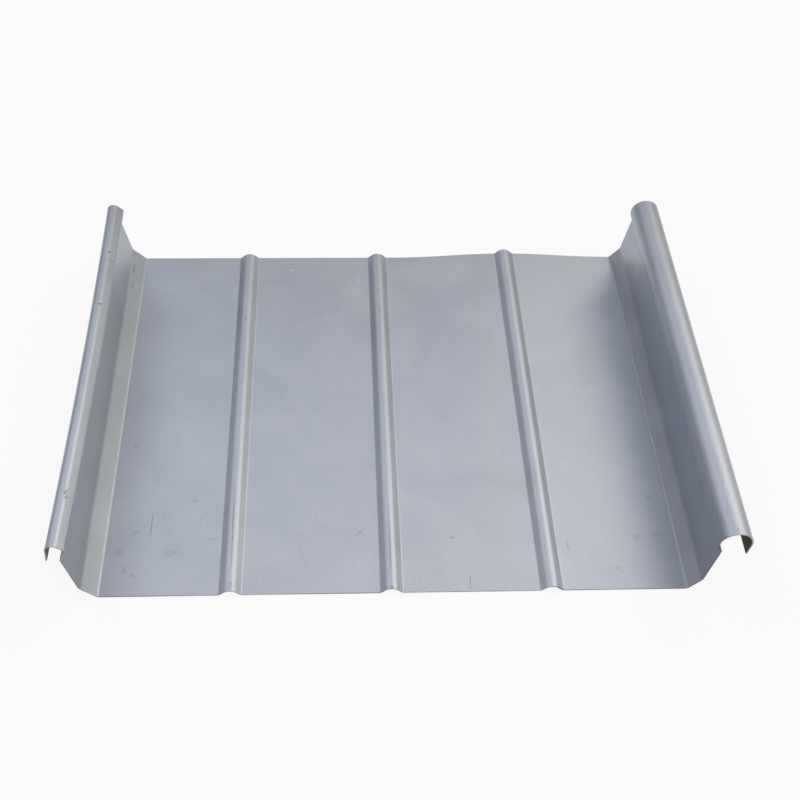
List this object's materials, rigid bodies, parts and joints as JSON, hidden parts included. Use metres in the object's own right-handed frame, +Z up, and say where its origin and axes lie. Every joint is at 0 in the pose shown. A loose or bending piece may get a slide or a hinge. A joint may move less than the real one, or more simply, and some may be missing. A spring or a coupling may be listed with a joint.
{
  "type": "standing seam roof sheet",
  "caption": "Rolled aluminium roof sheet with a flat ribbed pan, upright webs, a small hooked bead on one side and a large round bead on the other that laps over the next sheet.",
  "frame": {"origin": "middle of the sheet's box, on the underside of the pan", "axes": "+X across the sheet from the small bead to the large bead, +Y along the length, +Z up out of the pan"},
  "size_m": [0.471, 0.35, 0.0641],
  "materials": {
    "mill_aluminium": "satin mill finish"
  },
  "bodies": {
    "root": {"roof_sheet": "mill_aluminium"}
  },
  "joints": []
}
